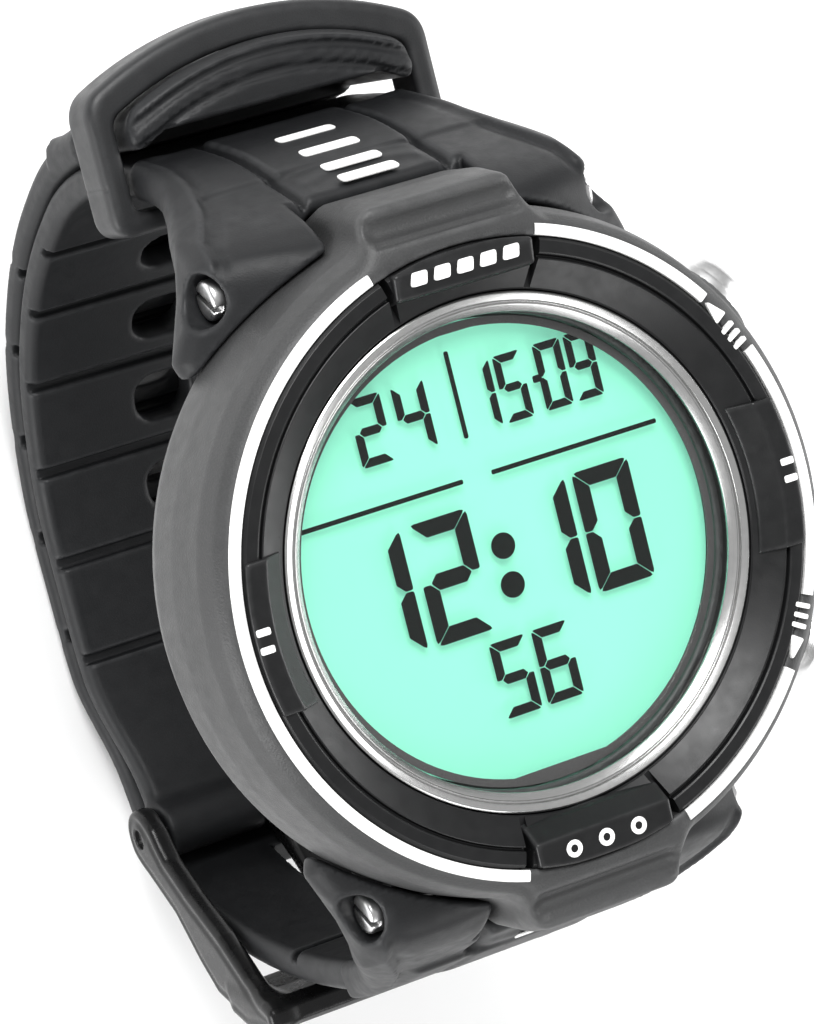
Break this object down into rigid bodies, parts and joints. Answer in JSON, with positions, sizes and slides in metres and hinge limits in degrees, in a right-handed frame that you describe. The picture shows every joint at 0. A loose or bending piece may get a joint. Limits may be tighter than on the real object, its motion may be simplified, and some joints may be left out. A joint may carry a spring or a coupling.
{
  "type": "dive computer",
  "caption": "Wrist dive computer with a round case, a segmented display, side push buttons and a ribbed strap closed by a buckle and keeper.",
  "frame": {"origin": "centre of the case's flat wrist face", "axes": "+Z out of the display, +Y towards 12 o'clock, +X towards 3 o'clock; the strap loop hangs along -Z"},
  "size_m": [0.0484, 0.0761, 0.0654],
  "materials": {
    "case_polymer": "finely textured black glass-filled polymer",
    "bezel_polymer": "satin black moulded polymer",
    "white_print": "white pad-printed ink",
    "white_ring": "white inlaid ring",
    "steel_ring": "brushed and polished steel",
    "steel": "machined stainless steel",
    "spring_steel": "drawn spring steel",
    "crystal_glass": "clear mineral glass",
    "lcd_glass": "clear display glass",
    "lcd_backlight": "teal reflector film",
    "lcd_dark": "dark liquid-crystal bars",
    "mask_ink": "dark grey printed mask",
    "diffuser": "moulded clear light guide",
    "frame_plastic": "moulded engineering plastic",
    "conductive_rubber": "layered conductive elastomer",
    "board": "solder-masked circuit board",
    "chip": "moulded epoxy",
    "brass": "thin brass disc",
    "nickel": "nickel-plated steel",
    "seal_rubber": "nitrile rubber",
    "back_polymer": "smooth black polymer",
    "strap_rubber": "soft matt black elastomer",
    "keeper_rubber": "soft matt black elastomer",
    "buckle_plastic": "polished black acetal"
  },
  "bodies": {
    "case": {"case_body": "case_polymer", "bezel_ring": "bezel_polymer", "bezel_marks": "white_print", "accent_ring": "white_ring", "glass_retainer": "steel_ring", "crystal": "crystal_glass", "crystal_gasket": "seal_rubber", "display_mask": "mask_ink", "lcd_front_glass": "lcd_glass", "lcd_segments": "lcd_dark", "lcd_rear_glass": "lcd_backlight", "light_guide": "diffuser", "module_frame": "frame_plastic", "zebra_strips": "conductive_rubber", "circuit_board": "board", "board_chips": "chip", "buzzer": "brass", "battery_contact": "nickel", "coin_cell": "nickel", "pressure_sensor": "steel", "sensor_o_ring": "seal_rubber", "case_back": "back_polymer", "case_back_gasket": "seal_rubber", "case_back_screws": "steel", "upper_button_tube": "steel", "upper_button_spring": "spring_steel", "lower_button_tube": "steel", "lower_button_spring": "spring_steel", "upper_strap": "strap_rubber", "lower_strap": "strap_rubber", "upper_strap_pin": "steel", "lower_strap_pin": "steel", "strap_screws": "steel", "strap_inlays": "white_print"},
    "battery_seal": {"battery_cap_o_ring": "seal_rubber"},
    "battery_cap": {"battery_cap": "back_polymer"},
    "upper_button": {"upper_button": "steel", "upper_button_o_ring": "seal_rubber", "upper_button_clip": "spring_steel"},
    "lower_button": {"lower_button": "steel", "lower_button_o_ring": "seal_rubber", "lower_button_clip": "spring_steel"},
    "keeper": {"keeper_loop": "keeper_rubber"},
    "buckle": {"buckle_frame": "buckle_plastic", "buckle_pin": "steel"},
    "tongue": {"buckle_tongue": "buckle_plastic"}
  },
  "joints": [
    {"name": "battery_cap_lift", "type": "slide", "parent": "case", "child": "battery_seal", "axis": [0, 0, -1], "range_m": [0, 0.00131]},
    {"name": "battery_cap_turn", "type": "hinge", "parent": "battery_seal", "child": "battery_cap", "pos_m": [0, 0, 0], "axis": [0, 0, -1], "range_deg": [0, 630]},
    {"name": "upper_button_press", "type": "slide", "parent": "case", "child": "upper_button", "axis": [-0.8572, -0.515, 0], "range_m": [0, 0.001], "stiffness_N_per_m": 1200, "springref_m": -0.001, "deforming": ["upper_button_spring"]},
    {"name": "lower_button_press", "type": "slide", "parent": "case", "child": "lower_button", "axis": [-0.8572, 0.515, 0], "range_m": [0, 0.001], "stiffness_N_per_m": 1200, "springref_m": -0.001, "deforming": ["lower_button_spring"]},
    {"name": "keeper_slide", "type": "slide", "parent": "case", "child": "keeper", "axis": [0, 0, -1], "range_m": [0, 0.008]},
    {"name": "buckle_swing", "type": "hinge", "parent": "case", "child": "buckle", "pos_m": [0, -0.0215, -0.042], "axis": [1, 0, 0], "range_deg": [0, 7]},
    {"name": "tongue_swing", "type": "hinge", "parent": "case", "child": "tongue", "pos_m": [0, -0.0215, -0.042], "axis": [1, 0, 0], "range_deg": [0, 7]}
  ],
  "couplings": [
    {"joint": "battery_cap_turn", "follows": "battery_cap_lift", "rad_per_m": 8377.6},
    {"joint": "tongue_swing", "follows": "buckle_swing", "ratio": 1}
  ]
}
